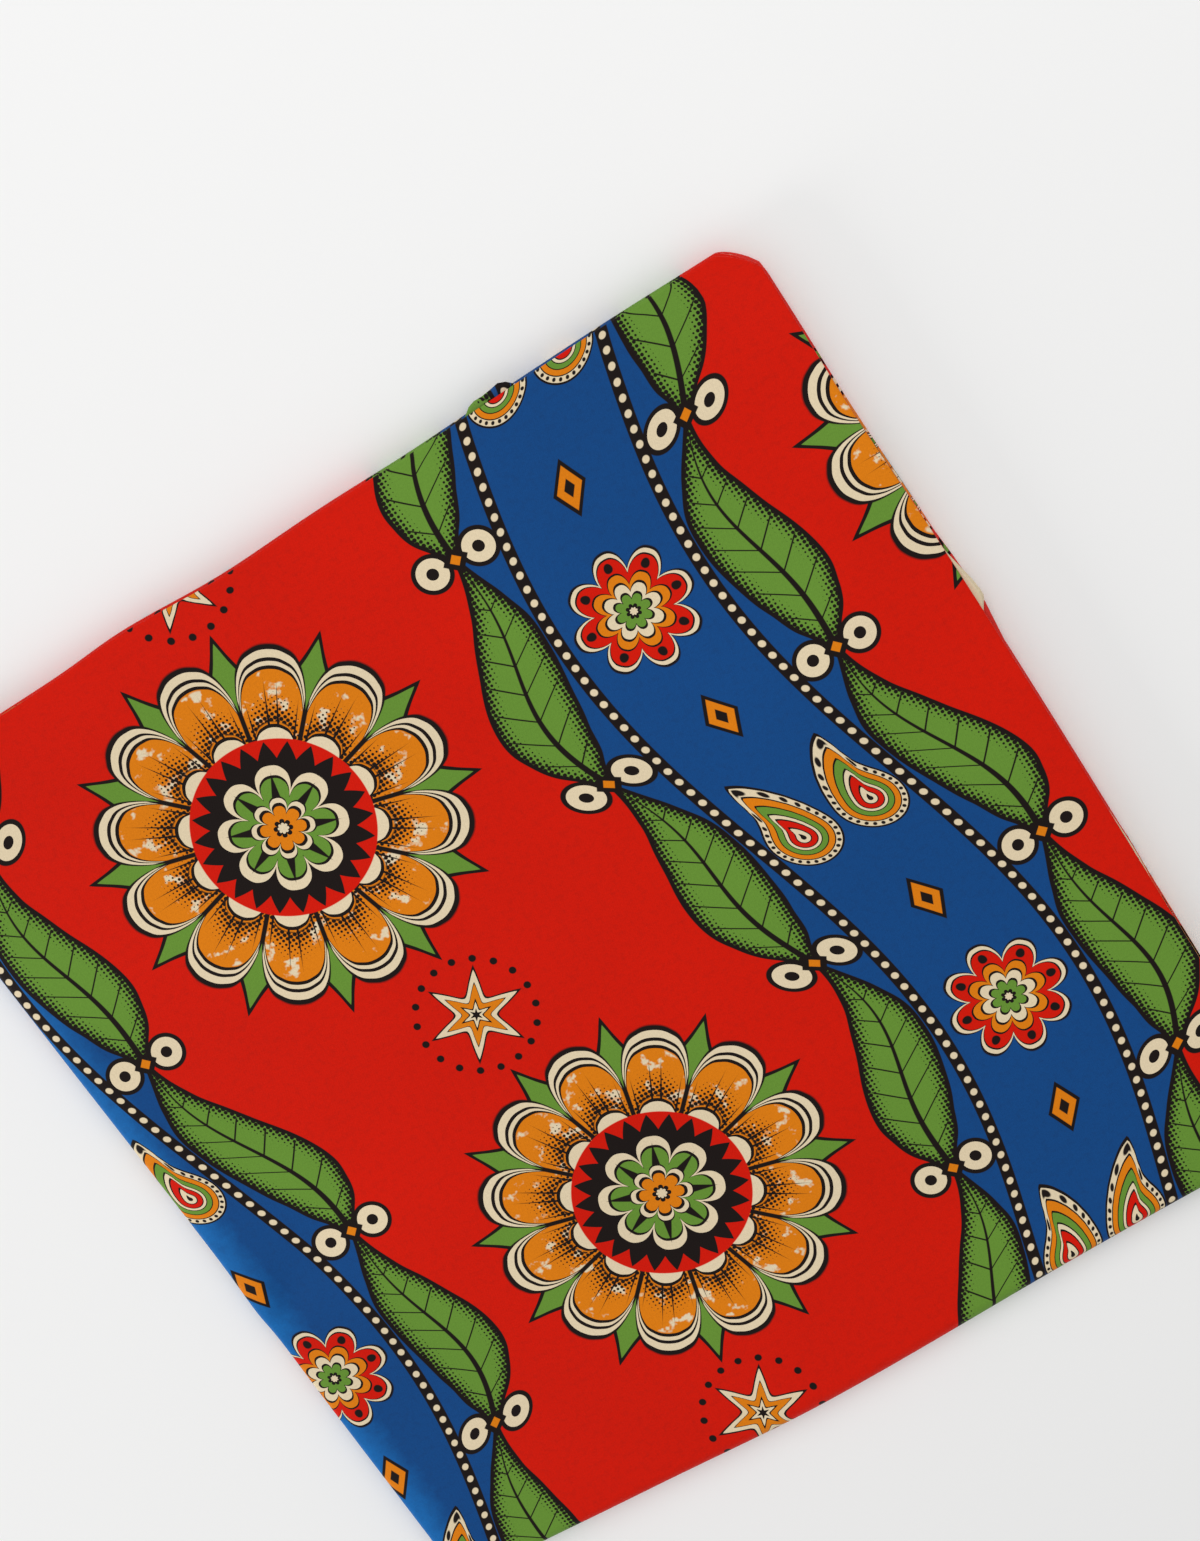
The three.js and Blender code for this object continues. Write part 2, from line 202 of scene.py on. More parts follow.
# The bundle isn't quite flat or square. Soft ridges and troughs, in x, y, direction, half length, half
# breadth and height: first the large ones of the whole stack, then the small creases.
RISES = (
    (-8, 20, 20, 120, 90, 0.7),
    (-70, 60, 62, 75, 20, 0.35),
    (52, -62, -38, 80, 20, 0.4),
    (88, 84, 24, 60, 18, -0.35),
    (-62, -92, 12, 70, 18, -0.4),
    (-126, -37, 40, 26, 13, -0.8),
    (140, 147, -45, 18, 15, -1.3),
    (-135.5, -41.5, 52, 11, 5.5, -0.5),
    (-141.5, -36.5, 60, 9, 4.5, 0.55),
    (96, 22, 58, 46, 7, 0.16),
    (14, 96, 71, 38, 6, 0.14),
    (-38, -18, 34, 52, 8, 0.13),
    (38, -118, 12, 40, 6, -0.15),
    (-96, 118, -28, 34, 6, 0.15),
    (-104, -96, 48, 30, 6, 0.14),
)
# How far a side stands out beyond its straight line: side, place along it, reach below and above that
# place, and distance. The peeping rows move only the plies that are folded inside.
OUTLINE = (
    ("right", 10, 105, 105, 1.4),
    ("right", 96, 22, 22, -0.5),
    ("left", -10, 80, 80, -0.8),
    ("left", -38, 9, 12, 0.5),
    ("near", -18, 52, 75, 3.5),
    ("near", -125, 25, 25, -1.2),
    ("far", -57, 15, 21, 1.1),
    ("far", -22, 22, 22, -0.8),
    ("far", 38, 18, 18, -0.4),
    ("far", 102, 28, 28, 0.4),
)
PEEPING = (
    ("right", 36, 3.5, 13, 3.4),
    ("right", -52, 16, 16, 1.0),
    ("right", 108, 20, 20, -1.2),
    ("far", 62, 3, 5.5, 2.7),
    ("far", 71.5, 5.5, 2.5, 3.3),
    ("far", -96, 18, 18, 0.8),
)
EDGE_REACH = 26  # how far in from a side its change of outline dies away
PEEP_REACH = 12  # the same for the hidden plies' own changes
CORNER_REACH = 40  # and for the corners
CORNER_POWER = 1.3  # 1 would cut the corners off straight, 2 would make them round
NEAR_CORNER_RADIUS = 8
FAR_CORNER_RADIUS = 9.5
ROLL_REACH = 10  # the wide side rolls down over a last stretch of this length
ROLL_DROP = 1.3  # and by this much at its end
LOOSE_INSET = 0.9  # the second leaf's loose end stays this far inside the first one's
SHOWN_DEPTH = 3.5 * PLY  # the plies that lie deeper than this are hidden
SETTLE_LENGTH = 20  # the outer ply becomes a hidden one over this length past the far end's turn
WANDER = 0.32  # how far the hidden plies' edges at the narrow side lie out of line, and over what reach
WANDER_REACH = 6


def bell(value, at, reach):
    return np.exp(-(((value - at) / reach) ** 2))


def swell(x, y):
    rise = -ROLL_DROP * np.clip((ROLL_REACH - (x + HALF_X)) / ROLL_REACH, 0, 1) ** 2
    for at_x, at_y, turn, long, broad, height in RISES:
        cos, sin = math.cos(math.radians(turn)), math.sin(math.radians(turn))
        along = (x - at_x) * cos + (y - at_y) * sin
        beside = (y - at_y) * cos - (x - at_x) * sin
        rise = rise + height * bell(along, 0, long) * bell(beside, 0, broad)
    return rise


def stand_out(rows, side, at):
    return sum(
        out * bell(at, place, np.where(at < place, below, above))
        for name, place, below, above, out in rows
        if name == side
    )


def near_edge(value, half, reach):
    """Nothing in the middle of the bundle, growing to one at its side."""
    return np.clip((np.abs(value) - (half - reach)) / reach, 0, 1.1) ** 2


def lie(x, y, z, hidden):
    """Takes a point of the plain, square stack to where it lies in the real, slightly uneven bundle."""
    side_x = np.where(x > 0, stand_out(OUTLINE, "right", y), -stand_out(OUTLINE, "left", y))
    side_y = np.where(y > 0, stand_out(OUTLINE, "far", x), -stand_out(OUTLINE, "near", x))
    peep_x = np.where(x > 0, stand_out(PEEPING, "right", y), 0) * hidden
    peep_y = np.where((y > 0) & (z > FAR_TOP), stand_out(PEEPING, "far", x) - LOOSE_INSET, 0) * hidden
    radius = np.where(y > 0, FAR_CORNER_RADIUS, NEAR_CORNER_RADIUS)
    past = np.clip((np.abs(y) - (HALF_Y - radius)) / radius, 0, 1)
    drawn_in = radius * (1 - (1 - past**CORNER_POWER) ** (1 / CORNER_POWER)) * np.sign(x)
    shift_x = side_x * near_edge(x, HALF_X, EDGE_REACH) + peep_x * near_edge(x, HALF_X, PEEP_REACH)
    shift_x = shift_x - drawn_in * near_edge(x, HALF_X, CORNER_REACH)
    shift_y = side_y * near_edge(y, HALF_Y, EDGE_REACH) + peep_y * near_edge(y, HALF_Y, PEEP_REACH)
    return x + shift_x, y + shift_y, z * (1 + swell(x, y) / STACK)


def folded(u, v):
    """Where folding and laying down put the points of the flat cloth, in metres."""
    outer_x, outer_depth = across(u, OUTER_PLIES)
    inner_x, inner_depth = across(u, INNER_PLIES)
    turn = np.clip((v - (YARD - YARD_TURN)) / (2 * YARD_TURN), 0, 1) * np.pi
    x = (outer_x + inner_x) / 2 + (outer_x - inner_x) / 2 * np.cos(turn)
    depth = (outer_depth + inner_depth) / 2 + (outer_depth - inner_depth) / 2 * np.cos(turn)
    reach = np.hypot(outer_x - inner_x, outer_depth - inner_depth) / 2
    used = np.maximum(np.abs(v - YARD) - YARD_TURN, 0)
    columns = ("y", "z", "out_y", "out_z")
    y, z, out_y, out_z = (np.interp(used, ROUTE["used"], ROUTE[name]) for name in columns)
    length = np.hypot(out_y, out_z)
    past_far = np.clip((used - FAR_TURN[0]) / (FAR_TURN[1] - FAR_TURN[0]), 0, 1)
    sunk = depth * (1 - (1 - MIDDLE_PACK) * past_far)
    pulled = YARD_FOLD_PULL * bell(used, 0, YARD_FOLD_REACH)
    y = y - out_y / length * sunk - pulled + reach * np.sin(turn)
    z = z - out_z / length * sunk
    inside = np.clip((depth - SHOWN_DEPTH) / PLY, 0, 1)
    hidden = np.maximum(inside, np.clip((used - FAR_TURN[1]) / SETTLE_LENGTH, 0, 1))
    # each hidden ply's side lies a little further in or out than its neighbours', in long and short waves
    wander = np.sin(y / 31 + depth * 9 + z) + 0.6 * np.sin(y / 13 - depth * 5 + 2 * z)
    at_side = np.clip((x - HALF_X + WANDER_REACH) / WANDER_REACH, 0, 1)
    x = x - WANDER * (1 + wander / 1.6) * hidden * at_side
    return [value * MM for value in lie(x, y, z, hidden)]


EDGE_STEPS = (0.5, 1.5, 3, 5.5, 9, 14, 20)  # places this far from a fold, where the cloth bends most


def spaced(start, end, step):
    """Places from start to end, close together at both ends and a step apart between them."""
    inner = np.array([inset for inset in EDGE_STEPS if inset < (end - start) / 2])
    low, high = start + inner[-1], end - inner[-1]
    middle = np.linspace(low, high, max(2, round((high - low) / step) + 1))
    return np.concatenate([[start], start + inner[:-1], middle, (end - inner[:-1])[::-1], [end]])


def turned(start, end, steps):
    """Places round a fold, without its two ends."""
    return np.linspace(start, end, steps + 1)[1:-1]


MARGIN = 15  # how far the piece that shows runs on behind the folds at its four sides
SHOWN_U = (ENDS_ACROSS[3] - MARGIN, ENDS_ACROSS[6] + MARGIN)
SHOWN_V = (YARD - YARD_TURN - FAR_TURN[1] - MARGIN, YARD + YARD_TURN + MARGIN)


def end_places(top_step, under_step, past):
    """Places along half of the cloth, as distances from the yard fold, with those past the far end's turn."""
    return np.concatenate(
        [
            spaced(0, NEAR_TURN[0], top_step),
            turned(*NEAR_TURN, 14),
            spaced(NEAR_TURN[1], FAR_TURN[0], under_step),
            turned(*FAR_TURN, 12),
            past,
        ]
    )


def sheet_mesh(name, us, vs, left_out=None):
    """The mesh of the folded cloth over a grid of its flat places, with those places as its UV map."""
    u, v = np.meshgrid(us, vs)
    points = np.stack([value.ravel() for value in folded(u, v)], axis=1)
    flat = np.stack([u.ravel(), v.ravel()], axis=1) * MM
    corner = np.arange(len(us) * len(vs)).reshape(len(vs), len(us))
    faces = np.stack([corner[:-1, :-1], corner[:-1, 1:], corner[1:, 1:], corner[1:, :-1]], axis=-1)
    if left_out:
        in_u, in_v = (
            (places[:-1] + places[1:] > 2 * low) & (places[:-1] + places[1:] < 2 * high)
            for places, (low, high) in zip((us, vs), left_out)
        )
        faces = faces[~(in_v[:, None] & in_u[None, :])]
    used, faces = np.unique(faces.reshape(-1), return_inverse=True)
    mesh = bpy.data.meshes.new(name)
    mesh.from_pydata(points[used], [], faces.reshape(-1, 4))
    uv = mesh.uv_layers.new(name="cloth")
    uv.data.foreach_set("uv", flat[used][faces.ravel()].ravel())
    mesh.shade_smooth()
    piece = bpy.data.objects.new(name, mesh)
    bpy.context.scene.collection.objects.link(piece)
    cloth = piece.modifiers.new("cotton", "SOLIDIFY")
    cloth.thickness = THREADS * MM
    cloth.offset = 0
    return piece


# More places for the small creases beside the wide side fold: how far in from it, and along it.
CREASE_IN = np.array([4.2, 7.2, 11.5, 17])
CREASE_Y = np.array([-54, -50, -47.5, -45.5, -43.5, -41.5, -39, -36.5, -33, -29])
SHOWN_STEP = 3.4
yard_turn_places = turned(YARD - YARD_TURN, YARD + YARD_TURN, 10)
past_turn = [FAR_TURN[1], FAR_TURN[1] + 5, FAR_TURN[1] + MARGIN]
shown_half = np.concatenate([end_places(SHOWN_STEP, SHOWN_STEP, past_turn), HALF_Y - CREASE_Y])
shown_u = np.unique(
    np.concatenate(
        [
            [SHOWN_U[0], ENDS_ACROSS[3] - 7, ENDS_ACROSS[3] - 3, ENDS_ACROSS[3]],
            turned(*STRETCHES[NARROW_TURN], 6),
            spaced(*STRETCHES[TOP_PLY], SHOWN_STEP),
            ENDS_ACROSS[5] - CREASE_IN,
            turned(*STRETCHES[WIDE_TURN], 12),
            [ENDS_ACROSS[6], ENDS_ACROSS[6] + 3, ENDS_ACROSS[6] + 7, SHOWN_U[1]],
        ]
    )
)
shown_v = np.unique(
    np.concatenate(
        [
            YARD - YARD_TURN - shown_half,
            yard_turn_places,
            YARD + YARD_TURN + np.array([0, 2, 6, MARGIN]),
        ]
    )
)
outer_cloth = sheet_mesh("printed_outer_cloth", shown_u, shown_v)


# The print's sums, drawn with nodes on the flat cloth, in millimetres across and along it.
class Term:
    """A value that changes over the cloth."""

    def __init__(self, tree, socket):
        self.tree = tree
        self.socket = socket

    def reckon(self, what, *others, clamp=False):
        node = self.tree.nodes.new("ShaderNodeMath")
        node.operation = what
        node.use_clamp = clamp
        for entry, term in zip(node.inputs, (self, *others)):
            if isinstance(term, Term):
                self.tree.links.new(term.socket, entry)
            else:
                entry.default_value = term
        return Term(self.tree, node.outputs[0])

    def __add__(self, other):
        return self.reckon("ADD", other)

    def __sub__(self, other):
        return self.reckon("SUBTRACT", other)

    def __mul__(self, other):
        return self.reckon("MULTIPLY", other)

    def __truediv__(self, other):
        return self.reckon("DIVIDE", other)

    def __abs__(self):
        return self.reckon("ABSOLUTE")

    def sine(self):
        return self.reckon("SINE")

    def centred(self, period):
        """The same value, counted from the middle of each repeat."""
        return self.reckon("WRAP", period / 2, -period / 2)

    def zigzag(self, half_period):
        return self.reckon("PINGPONG", half_period)

    def falling(self, start, slope=1):
        """Falls in a straight line: start where the value is none, and less by slope for each unit of it."""
        return (self * -slope) + start

    def below(self, edge, soft=0.22):
        """One where the value is under the edge, none where it is over, with the dye's soft bleed between."""
        if isinstance(edge, Term):
            return (edge - self).reckon("MULTIPLY_ADD", 1 / soft, 0.5, clamp=True)
        return self.reckon("MULTIPLY_ADD", -1 / soft, 0.5 + edge / soft, clamp=True)

    def above(self, edge, soft=0.22):
        if isinstance(edge, Term):
            return (self - edge).reckon("MULTIPLY_ADD", 1 / soft, 0.5, clamp=True)
        return self.reckon("MULTIPLY_ADD", 1 / soft, 0.5 - edge / soft, clamp=True)

    def curve(self, points, sharp=()):
        """The value's own curve, drawn from 0 to 1, with a corner at each sharp place."""
        node = self.tree.nodes.new("ShaderNodeFloatCurve")
        line = node.mapping.curves[0]
        line.points[0].location = points[0]
        line.points[1].location = points[-1]
        for point in points[1:-1]:
            line.points.new(*point)
        for point in line.points:
            if any(abs(point.location[0] - at) < 1e-3 for at in sharp):
                point.handle_type = "VECTOR"
        node.mapping.update()
        self.tree.links.new(self.socket, node.inputs["Value"])
        return Term(self.tree, node.outputs[0])

    def rings(self, stops):
        """Plain colours, each from its own value on."""
        node = self.tree.nodes.new("ShaderNodeValToRGB")
        node.color_ramp.interpolation = "CONSTANT"
        elements = node.color_ramp.elements
        while len(elements) > 1:
            elements.remove(elements[-1])
        elements[0].position, elements[0].color = stops[0]
        for at, colour in stops[1:]:
            elements.new(at).color = colour
        self.tree.links.new(self.socket, node.inputs["Fac"])
        return Term(self.tree, node.outputs["Color"])


def distance(x, y):
    return (x * x + y * y).reckon("SQRT")


def dyed(below, colour, mask):
    """The cloth's colour with another dye over it where the mask is one."""
    node = mask.tree.nodes.new("ShaderNodeMix")
    node.data_type = "RGBA"
    entries = {entry.identifier: entry for entry in node.inputs}
    for name, value in (("A_Color", below), ("B_Color", colour)):
        if isinstance(value, Term):
            mask.tree.links.new(value.socket, entries[name])
        else:
            entries[name].default_value = value
    mask.tree.links.new(mask.socket, entries["Factor_Float"])
    return Term(mask.tree, next(out for out in node.outputs if out.identifier == "Result_Color"))


def ink(red, green, blue):
    """A dye's colour, given as a screen shows it, from 0 to 255."""
    shares = [part / 255 for part in (red, green, blue)]
    return tuple(((c + 0.055) / 1.055) ** 2.4 if c > 0.04 else c / 12.92 for c in shares) + (1,)


def noise(tree, place, scale, detail=2, roughness=0.5):
    node = tree.nodes.new("ShaderNodeTexNoise")
    node.inputs["Scale"].default_value = scale
    node.inputs["Detail"].default_value = detail
    node.inputs["Roughness"].default_value = roughness
    tree.links.new(place, node.inputs["Vector"])
    return Term(tree, node.outputs["Fac"])


RED = ink(210, 21, 0)
BLUE = ink(16, 71, 132)
# painted highlight: paler red and blue for the strip along the wide side fold, where its roll catches the
# light
HIGHLIGHT_BLUE = ink(22, 106, 178)
HIGHLIGHT_RED = ink(208, 42, 16)
GREEN = ink(102, 144, 52)
GOLD = ink(222, 125, 12)
CREAM = ink(228, 210, 176)
BLACK = ink(26, 18, 16)

BAND = CLOTH_WIDTH / 5  # one red and one blue stripe together
WAVE = CLOTH_LENGTH / 6  # the stripes sway once in this length
SWAY = 14  # to either side
RED_HALF = 80  # half a red stripe's width
LEAF_LENGTH = WAVE / 4
SPACING = WAVE / 2  # of the blossoms, paisleys, flowers and stars
FIRST_U = 765.9  # where a blossom's stripe has its middle, and where its sway begins
FIRST_V = 615.8


def new_group(name, outputs):
    group = bpy.data.node_groups.new(name, "ShaderNodeTree")
    group.interface.new_socket("Cloth", in_out="INPUT", socket_type="NodeSocketVector")
    for output, kind in outputs:
        group.interface.new_socket(output, in_out="OUTPUT", socket_type=kind)
    return group, group.nodes.new("NodeGroupInput"), group.nodes.new("NodeGroupOutput")


DOT_SPACING = 1.3  # of the halftone
DOT_DISORDER = 0.08  # how far its dots are off their rows, where 1 would scatter them


def print_places(group, cloth):
    """What the motifs are drawn by: places on the flat cloth, the stripes and repeats, and some noise."""
    scaled = group.nodes.new("ShaderNodeVectorMath")
    scaled.operation = "SCALE"
    scaled.inputs["Scale"].default_value = 1 / MM
    group.links.new(cloth, scaled.inputs[0])
    place = scaled.outputs[0]
    split = group.nodes.new("ShaderNodeSeparateXYZ")
    group.links.new(place, split.inputs[0])
    u = Term(group, split.outputs["X"])
    v = Term(group, split.outputs["Y"]) - FIRST_V
    sway = (v * (2 * math.pi / WAVE)).sine()
    from_red = (u - FIRST_U).centred(BAND)
    stripe = abs((from_red + sway * SWAY).centred(BAND))
    dots = group.nodes.new("ShaderNodeTexVoronoi")
    dots.voronoi_dimensions = "2D"
    dots.inputs["Scale"].default_value = 1 / DOT_SPACING
    dots.inputs["Randomness"].default_value = DOT_DISORDER
    group.links.new(place, dots.inputs["Vector"])
    return SimpleNamespace(
        u=u,
        v=v,
        sway=sway,
        from_red=from_red,  # across, from the line that a red stripe sways about
        stripe=stripe,  # across, from the red stripe's own middle
        from_blue=stripe.falling(BAND / 2),  # across, from the blue stripe's own middle
        paisley_v=v.centred(SPACING),
        blossom_v=(v + SPACING / 2).centred(SPACING),
        joint=(v + LEAF_LENGTH / 2).centred(LEAF_LENGTH),  # along, from where two leaves meet
        blotch=noise(group, place, 0.16, detail=3, roughness=0.6),
        mottle=noise(group, place, 0.45, detail=3, roughness=0.65),
        dot=Term(group, dots.outputs["Distance"]),
    )


def spin_round(x, y):
    """The angle round a motif's middle, in half turns."""
    return y.reckon("ARCTAN2", x) / math.pi


HIGHLIGHT_HALF = 7  # the painted highlight, a paler strip along the wide side fold: its half width, its soft edge and how ragged that is
HIGHLIGHT_EDGE = 12
HIGHLIGHT_RAGGED = 9
PATCHES_FROM = 0.62  # of the mottling noise, where the ground's slightly darker patches begin
PATCHES_SOFT = 0.3
PATCHES_SHADE = 0.13


def draw_grounds(cloth):
    """The red and blue grounds, slightly mottled, with a painted highlight that makes them paler along the
    wide side fold.
    """
    from_fold = abs(cloth.u - sum(STRETCHES[WIDE_TURN]) / 2)
    # painted highlight: the grounds turn paler along the wide side fold, where its roll catches the light
    painted_highlight = (from_fold + (cloth.blotch - 0.5) * HIGHLIGHT_RAGGED).below(HIGHLIGHT_HALF, HIGHLIGHT_EDGE)
    red = dyed(RED, HIGHLIGHT_RED, painted_highlight)
    blue = dyed(BLUE, HIGHLIGHT_BLUE, painted_highlight)
    colour = dyed(red, blue, cloth.stripe.above(RED_HALF))
    return dyed(colour, BLACK, cloth.mottle.above(PATCHES_FROM, PATCHES_SOFT) * PATCHES_SHADE)


CORD_INSET = 14.6  # from the red stripe's side to the cord's middle
CORD_HALF = 1.9
CORD_BEAD = 1.05
CORD_BEAD_SPACING = 4.3


def draw_cords(cloth, colour):
    """A beaded cord along both sides of each blue stripe."""
    cord = abs(cloth.stripe - (RED_HALF + CORD_INSET))
    colour = dyed(colour, BLACK, cord.below(CORD_HALF))
    bead = distance(cord, cloth.v.zigzag(CORD_BEAD_SPACING / 2))
    return dyed(colour, CREAM, bead.below(CORD_BEAD))


PAISLEY_SIZE = 25.2
PAISLEY_ASIDE = 10.9  # from the blue stripe's middle to the middle of a drop
PAISLEY_BACK = 4.3  # and along the stripe, from the middle of the repeat
PAISLEY_POINT = 0.275  # where the drop's point is, in turns
PAISLEY_OUTLINE = (
    (0, 0.4), (0.08, 0.42), (0.14, 0.49), (0.19, 0.61), (0.23, 0.77), (0.26, 0.93), (PAISLEY_POINT, 1),
    (0.287, 0.82), (0.3, 0.64), (0.33, 0.48), (0.38, 0.41), (0.5, 0.38), (0.75, 0.39), (1, 0.4),
)
PAISLEY_RINGS = (
    (0, BLACK), (0.07, CREAM), (0.17, BLACK), (0.2, RED), (0.33, BLACK), (0.36, CREAM), (0.43, BLACK),
    (0.46, GREEN), (0.59, BLACK), (0.62, GOLD), (0.76, BLACK), (0.79, CREAM), (0.945, BLACK),
)
PAISLEY_REACH = 11  # about how far a drop's round side is from its middle
PAISLEY_BEADS = 26
PAISLEY_BEAD_RING = 0.867  # of the outline's size
PAISLEY_BEAD_SPACING = 2.4
PAISLEY_BEAD = 0.62


def draw_paisleys(cloth, colour):
    """Paisleys in pairs on the blue: a drop whose point leans over, with its outline repeated inwards."""
    x = cloth.from_blue - PAISLEY_ASIDE
    y = cloth.paisley_v + PAISLEY_BACK
    angle = (y * -1).reckon("ARCTAN2", x) / (2 * math.pi) + 0.5
    outline = angle.curve(PAISLEY_OUTLINE, sharp=(PAISLEY_POINT,))
    share = distance(x, y) / (outline * PAISLEY_SIZE)
    from_ring = (share - PAISLEY_BEAD_RING) * PAISLEY_REACH
    bead = distance(from_ring, (angle * PAISLEY_BEADS).zigzag(0.5) * PAISLEY_BEAD_SPACING)
    drop = dyed(share.rings(PAISLEY_RINGS), BLACK, bead.below(PAISLEY_BEAD, 0.2))
    return dyed(colour, drop, share.below(1, 0.01))


FLOWER_SIZE = 18.6
FLOWER_PETALS = 8
FLOWER_PETAL = ((0, 1), (0.4, 0.96), (0.8, 0.8), (1, 0.66))  # from its middle to the gap beside it
FLOWER_RINGS = (
    (0, CREAM), (0.06, BLACK), (0.12, GREEN), (0.27, BLACK), (0.31, CREAM), (0.44, BLACK), (0.48, GOLD),
    (0.6, BLACK), (0.63, RED), (0.86, BLACK), (0.89, CREAM), (0.955, BLACK),
)
FLOWER_REACH = 16  # about how far its outline is from its middle
FLOWER_TURN = 0.39  # half of a petal's angle
SEED_RING = 0.74  # of the flower's size
SEED = 1.25


def draw_flowers(cloth, colour):
    """Round flowers on the blue, between the paisleys, with a seed in each petal."""
    reach = distance(cloth.from_blue, cloth.blossom_v)
    side = (spin_round(cloth.from_blue, cloth.blossom_v) * FLOWER_PETALS).zigzag(1)
    share = reach / (side.curve(FLOWER_PETAL) * FLOWER_SIZE)
    seed = distance((share - SEED_RING) * FLOWER_REACH, side * reach * FLOWER_TURN)
    flower = dyed(share.rings(FLOWER_RINGS), BLACK, seed.below(SEED))
    return dyed(colour, flower, share.below(1, 0.02))


LOZENGE = ((BLACK, 5.2), (GOLD, 4), (BLACK, 1.7))  # its dyes, each with half its width
LOZENGE_SLOPE = 0.62


def draw_lozenges(cloth, colour):
    """Small lozenges between the flowers and the paisleys."""
    reach = cloth.from_blue + abs(cloth.joint) * LOZENGE_SLOPE
    for dye, half in LOZENGE:
        colour = dyed(colour, dye, reach.below(half))
    return colour


BLOSSOM_SIZE = 54
SEPAL_SIZE = BLOSSOM_SIZE + 5
SEPAL_GREEN = 0.955  # of its size, within its black outline
BLOSSOM_PETALS = 12
SEPAL = ((0, 0.72), (0.5, 0.78), (0.8, 0.88), (1, 1))
PETAL = ((0, 1), (0.35, 0.98), (0.65, 0.92), (0.87, 0.8), (1, 0.66))
PETAL_RINGS = (
    (0, BLACK), (0.48, CREAM), (0.55, BLACK), (0.57, GOLD), (0.86, BLACK), (0.88, CREAM), (0.905, BLACK),
    (0.925, CREAM), (0.965, BLACK),
)
PETAL_GOLD = (0.58, 0.855)  # where a petal is golden, of its size
PETAL_PALE = 0.6  # of the blotches' noise, where the gold turns pale
PETAL_DOTS = (2.22, 2.9)  # the halftone's size at the blossom's middle, and how fast it falls outwards
PETAL_GAP = 2.6  # the black between two petals
VEIN_ASIDE = 0.16  # where the vein beside a petal's middle is, of the petal's half width
VEIN_HALFWAY = 0.3  # half the way from there to the next vein
VEIN = (4.5, 5.6)  # its half width at the blossom's middle, and how fast it falls outwards
COLLAR_SIZE = 26.5
SAW_ROOT = 20.8
SAW_TOOTH = 5
SAW_TEETH = 24
HEART_SIZE = 20
HEART_PETALS = 8
HEART_PETAL = ((0, 1), (0.5, 0.95), (0.85, 0.8), (1, 0.62))
RIB = (7.4, 9)  # half a rib's width at the heart's middle, and how fast it falls outwards
HEART_RINGS = (
    (0, CREAM), (0.08, BLACK), (0.14, GOLD), (0.33, BLACK), (0.38, CREAM), (0.45, BLACK), (0.48, GREEN),
    (0.75, BLACK), (0.79, CREAM), (0.935, BLACK),
)


def draw_blossoms(cloth, colour):
    """The large blossoms on the red: green sepals, petals, a sawtooth collar and a heart."""
    x = cloth.from_red + cloth.sway.reckon("SIGN") * SWAY
    reach = distance(x, cloth.blossom_v)
    spin = spin_round(x, cloth.blossom_v)
    side = (spin * BLOSSOM_PETALS).zigzag(1)
    sepal = reach / (side.curve(SEPAL, sharp=(1,)) * SEPAL_SIZE)
    colour = dyed(colour, BLACK, sepal.below(1, 0.006))
    colour = dyed(colour, GREEN, sepal.below(SEPAL_GREEN, 0.006))
    share = reach / (side.curve(PETAL) * BLOSSOM_SIZE)
    colour = dyed(colour, petal_dyes(cloth, side, share, reach), share.below(1, 0.012))
    colour = dyed(colour, RED, reach.below(COLLAR_SIZE))
    saw = (spin * SAW_TEETH).zigzag(1) * SAW_TOOTH
    colour = dyed(colour, BLACK, (reach - saw).below(SAW_ROOT))
    side = (spin * HEART_PETALS + 1).zigzag(1)
    share = reach / (side.curve(HEART_PETAL) * HEART_SIZE)
    ribs = (side * reach).below(share.falling(*RIB), 0.5) * share.above(0.47, 0.01)
    heart = dyed(share.rings(HEART_RINGS), BLACK, ribs)
    return dyed(colour, heart, share.below(1, 0.02))


def petal_dyes(cloth, side, share, reach):
    """A blossom's petals: gold with pale blotches, halftone dots and veins, in cream and black outlines."""
    golden = share.above(PETAL_GOLD[0], 0.01) * share.below(PETAL_GOLD[1], 0.01)
    dyes = dyed(share.rings(PETAL_RINGS), CREAM, golden * cloth.blotch.above(PETAL_PALE, 0.06))
    dyes = dyed(dyes, BLACK, golden * cloth.dot.below(share.falling(*PETAL_DOTS), 0.1))
    gap = side.falling(1) * reach
    dyes = dyed(dyes, BLACK, gap.below(PETAL_GAP, 0.8) * share.above(0.48, 0.01))
    vein = ((side - VEIN_ASIDE).zigzag(VEIN_HALFWAY) * reach).below(share.falling(*VEIN), 0.5)
    return dyed(dyes, BLACK, vein * share.above(0.56, 0.01) * side.below(0.86, 0.02))


STAR_SIZE = 15.5
STAR_POINTS = 6
STAR_POINT = ((0, 1), (0.25, 0.72), (0.6, 0.5), (1, 0.42))
STAR_RINGS = (
    (0, BLACK), (0.13, CREAM), (0.26, BLACK), (0.33, GOLD), (0.62, BLACK), (0.66, CREAM), (0.9, BLACK),
)
DOT_RING = 17.5
DOTS_ROUND = 18
DOT_STEP = 3.05  # half the way from one dot to the next
DOT = 1.1


def draw_stars(cloth, colour):
    """Small stars between the blossoms, each in a ring of dots."""
    reach = distance(cloth.from_red, cloth.paisley_v)
    spin = spin_round(cloth.from_red, cloth.paisley_v)
    share = reach / ((spin * STAR_POINTS).zigzag(1).curve(STAR_POINT, sharp=(0,)) * STAR_SIZE)
    colour = dyed(colour, share.rings(STAR_RINGS), share.below(1, 0.04))
    dot = distance(reach - DOT_RING, (spin * DOTS_ROUND).zigzag(1) * DOT_STEP)
    return dyed(colour, BLACK, dot.below(DOT))


